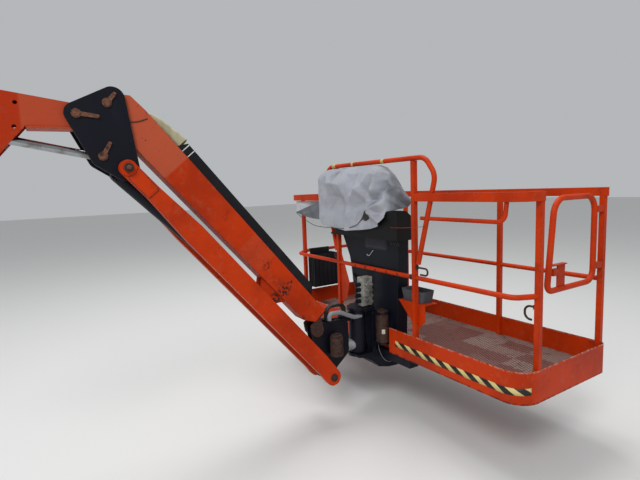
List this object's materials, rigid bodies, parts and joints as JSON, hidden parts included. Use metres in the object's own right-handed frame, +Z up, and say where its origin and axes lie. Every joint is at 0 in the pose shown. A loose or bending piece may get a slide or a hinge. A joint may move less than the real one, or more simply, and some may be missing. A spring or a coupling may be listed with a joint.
{
  "type": "jib and work platform of a telescopic boom lift",
  "caption": "Orange articulated jib with a levelling knuckle, rotator and railed steel work platform with a covered control box, ending at the boom's closing plate.",
  "frame": {"origin": "middle of the closing plate at the back of the boom end, where the boom carries the jib", "axes": "+X outwards from the boom to the platform, +Z up, +Y to the left when looking outwards"},
  "size_m": [3.4908, 2.44, 1.8888],
  "materials": {
    "orange_paint": "worn gloss",
    "black_paint": "worn satin",
    "rusty_steel": "rusty",
    "chrome_rod": "polished",
    "grey_metal": "matte",
    "bare_steel": "worn",
    "black_plastic": "matte",
    "grey_vinyl": "coated cloth",
    "hose_rubber": "matte",
    "bright_steel": "plated",
    "olive_cloth": "woven"
  },
  "bodies": {
    "boom": {"boom_nose": "orange_paint"},
    "level_barrel": {"level_cylinder_barrel": "black_paint"},
    "level_rod": {"level_cylinder_rod": "chrome_rod"},
    "knuckle": {"knuckle": "black_paint", "knuckle_pins": "rusty_steel", "link_pins": "orange_paint"},
    "upper_arm": {"upper_arm": "orange_paint", "upper_arm_end": "rusty_steel", "hose_trough": "black_plastic", "hose_sleeve": "olive_cloth"},
    "lower_arms": {"lower_arm_left": "orange_paint", "lower_arm_right": "orange_paint"},
    "jib_barrel": {"jib_cylinder_barrel": "black_paint"},
    "jib_rod": {"jib_cylinder_rod": "chrome_rod"},
    "end_bracket": {"jib_end_bracket": "black_paint", "jib_end_pins": "rusty_steel", "rotator_housing": "black_paint", "rotator_foot": "grey_metal", "hose_clamp": "black_paint", "jib_hoses": "hose_rubber", "bracket_boss": "rusty_steel"},
    "platform": {"deck": "bare_steel", "floor_beams": "orange_paint", "toe_boards": "orange_paint", "posts": "orange_paint", "top_rail": "orange_paint", "mid_rail": "orange_paint", "console_guard": "orange_paint", "grab_rail": "orange_paint", "gate_hinges": "orange_paint", "platform_support": "black_paint", "console_post": "black_paint", "console": "black_plastic", "console_cover": "grey_vinyl", "valve_block": "grey_metal", "valve_bracket": "black_paint", "tool_tray": "black_plastic", "tray_bracket": "orange_paint", "storage_box": "black_plastic", "valve_fittings": "bright_steel", "valve_coils": "black_plastic", "pivot_boss": "rusty_steel", "lanyard_hooks": "rusty_steel"},
    "gate": {"gate": "orange_paint", "gate_latch": "orange_paint"}
  },
  "joints": [
    {"name": "knuckle_level", "type": "hinge", "parent": "boom", "child": "knuckle", "pos_m": [0.834, 0, 0.006], "axis": [0, 1, 0], "range_deg": [-15, 80]},
    {"name": "level_barrel_swing", "type": "hinge", "parent": "boom", "child": "level_barrel", "pos_m": [0.101, 0, -0.025], "axis": [0, 1, 0], "range_deg": [-1.8, 1.15]},
    {"name": "level_rod_slide", "type": "slide", "parent": "level_barrel", "child": "level_rod", "axis": [0.9798, 0, -0.2], "range_m": [-0.2813, 0.0544]},
    {"name": "jib_lift", "type": "hinge", "parent": "knuckle", "child": "upper_arm", "pos_m": [0.972, 0, 0.063], "axis": [0, -1, 0], "range_deg": [-10, 120]},
    {"name": "lower_arm_swing", "type": "hinge", "parent": "knuckle", "child": "lower_arms", "pos_m": [1.037, 0, -0.255], "axis": [0, -1, 0], "range_deg": [-10, 120]},
    {"name": "jib_end_level", "type": "hinge", "parent": "upper_arm", "child": "end_bracket", "pos_m": [2.14509, 0, -1.33503], "axis": [0, -1, 0], "range_deg": [-120, 10]},
    {"name": "jib_barrel_swing", "type": "hinge", "parent": "knuckle", "child": "jib_barrel", "pos_m": [1, 0, -0.285], "axis": [0, -1, 0], "range_deg": [-10.65, 116.8]},
    {"name": "jib_rod_slide", "type": "slide", "parent": "jib_barrel", "child": "jib_rod", "axis": [0.6983, 0, -0.7158], "range_m": [-0.0554, 0.6423]},
    {"name": "platform_turn", "type": "hinge", "parent": "end_bracket", "child": "platform", "pos_m": [2.50709, 0, -1.51603], "axis": [0, 0, 1], "range_deg": [-90, 90]},
    {"name": "gate_swing", "type": "hinge", "parent": "platform", "child": "gate", "pos_m": [3.33909, -1.19, -0.73603], "axis": [0, 0, -1], "range_deg": [0, 90], "stiffness_Nm_per_rad": 4}
  ],
  "couplings": [
    {"joint": "level_barrel_swing", "follows": "knuckle_level", "ratio": -0.01},
    {"joint": "level_rod_slide", "follows": "knuckle_level", "m_per_rad": -0.2},
    {"joint": "lower_arm_swing", "follows": "jib_lift", "ratio": 1},
    {"joint": "jib_end_level", "follows": "jib_lift", "ratio": -1},
    {"joint": "jib_barrel_swing", "follows": "jib_lift", "ratio": 0.965},
    {"joint": "jib_rod_slide", "follows": "jib_lift", "m_per_rad": 0.3057}
  ]
}
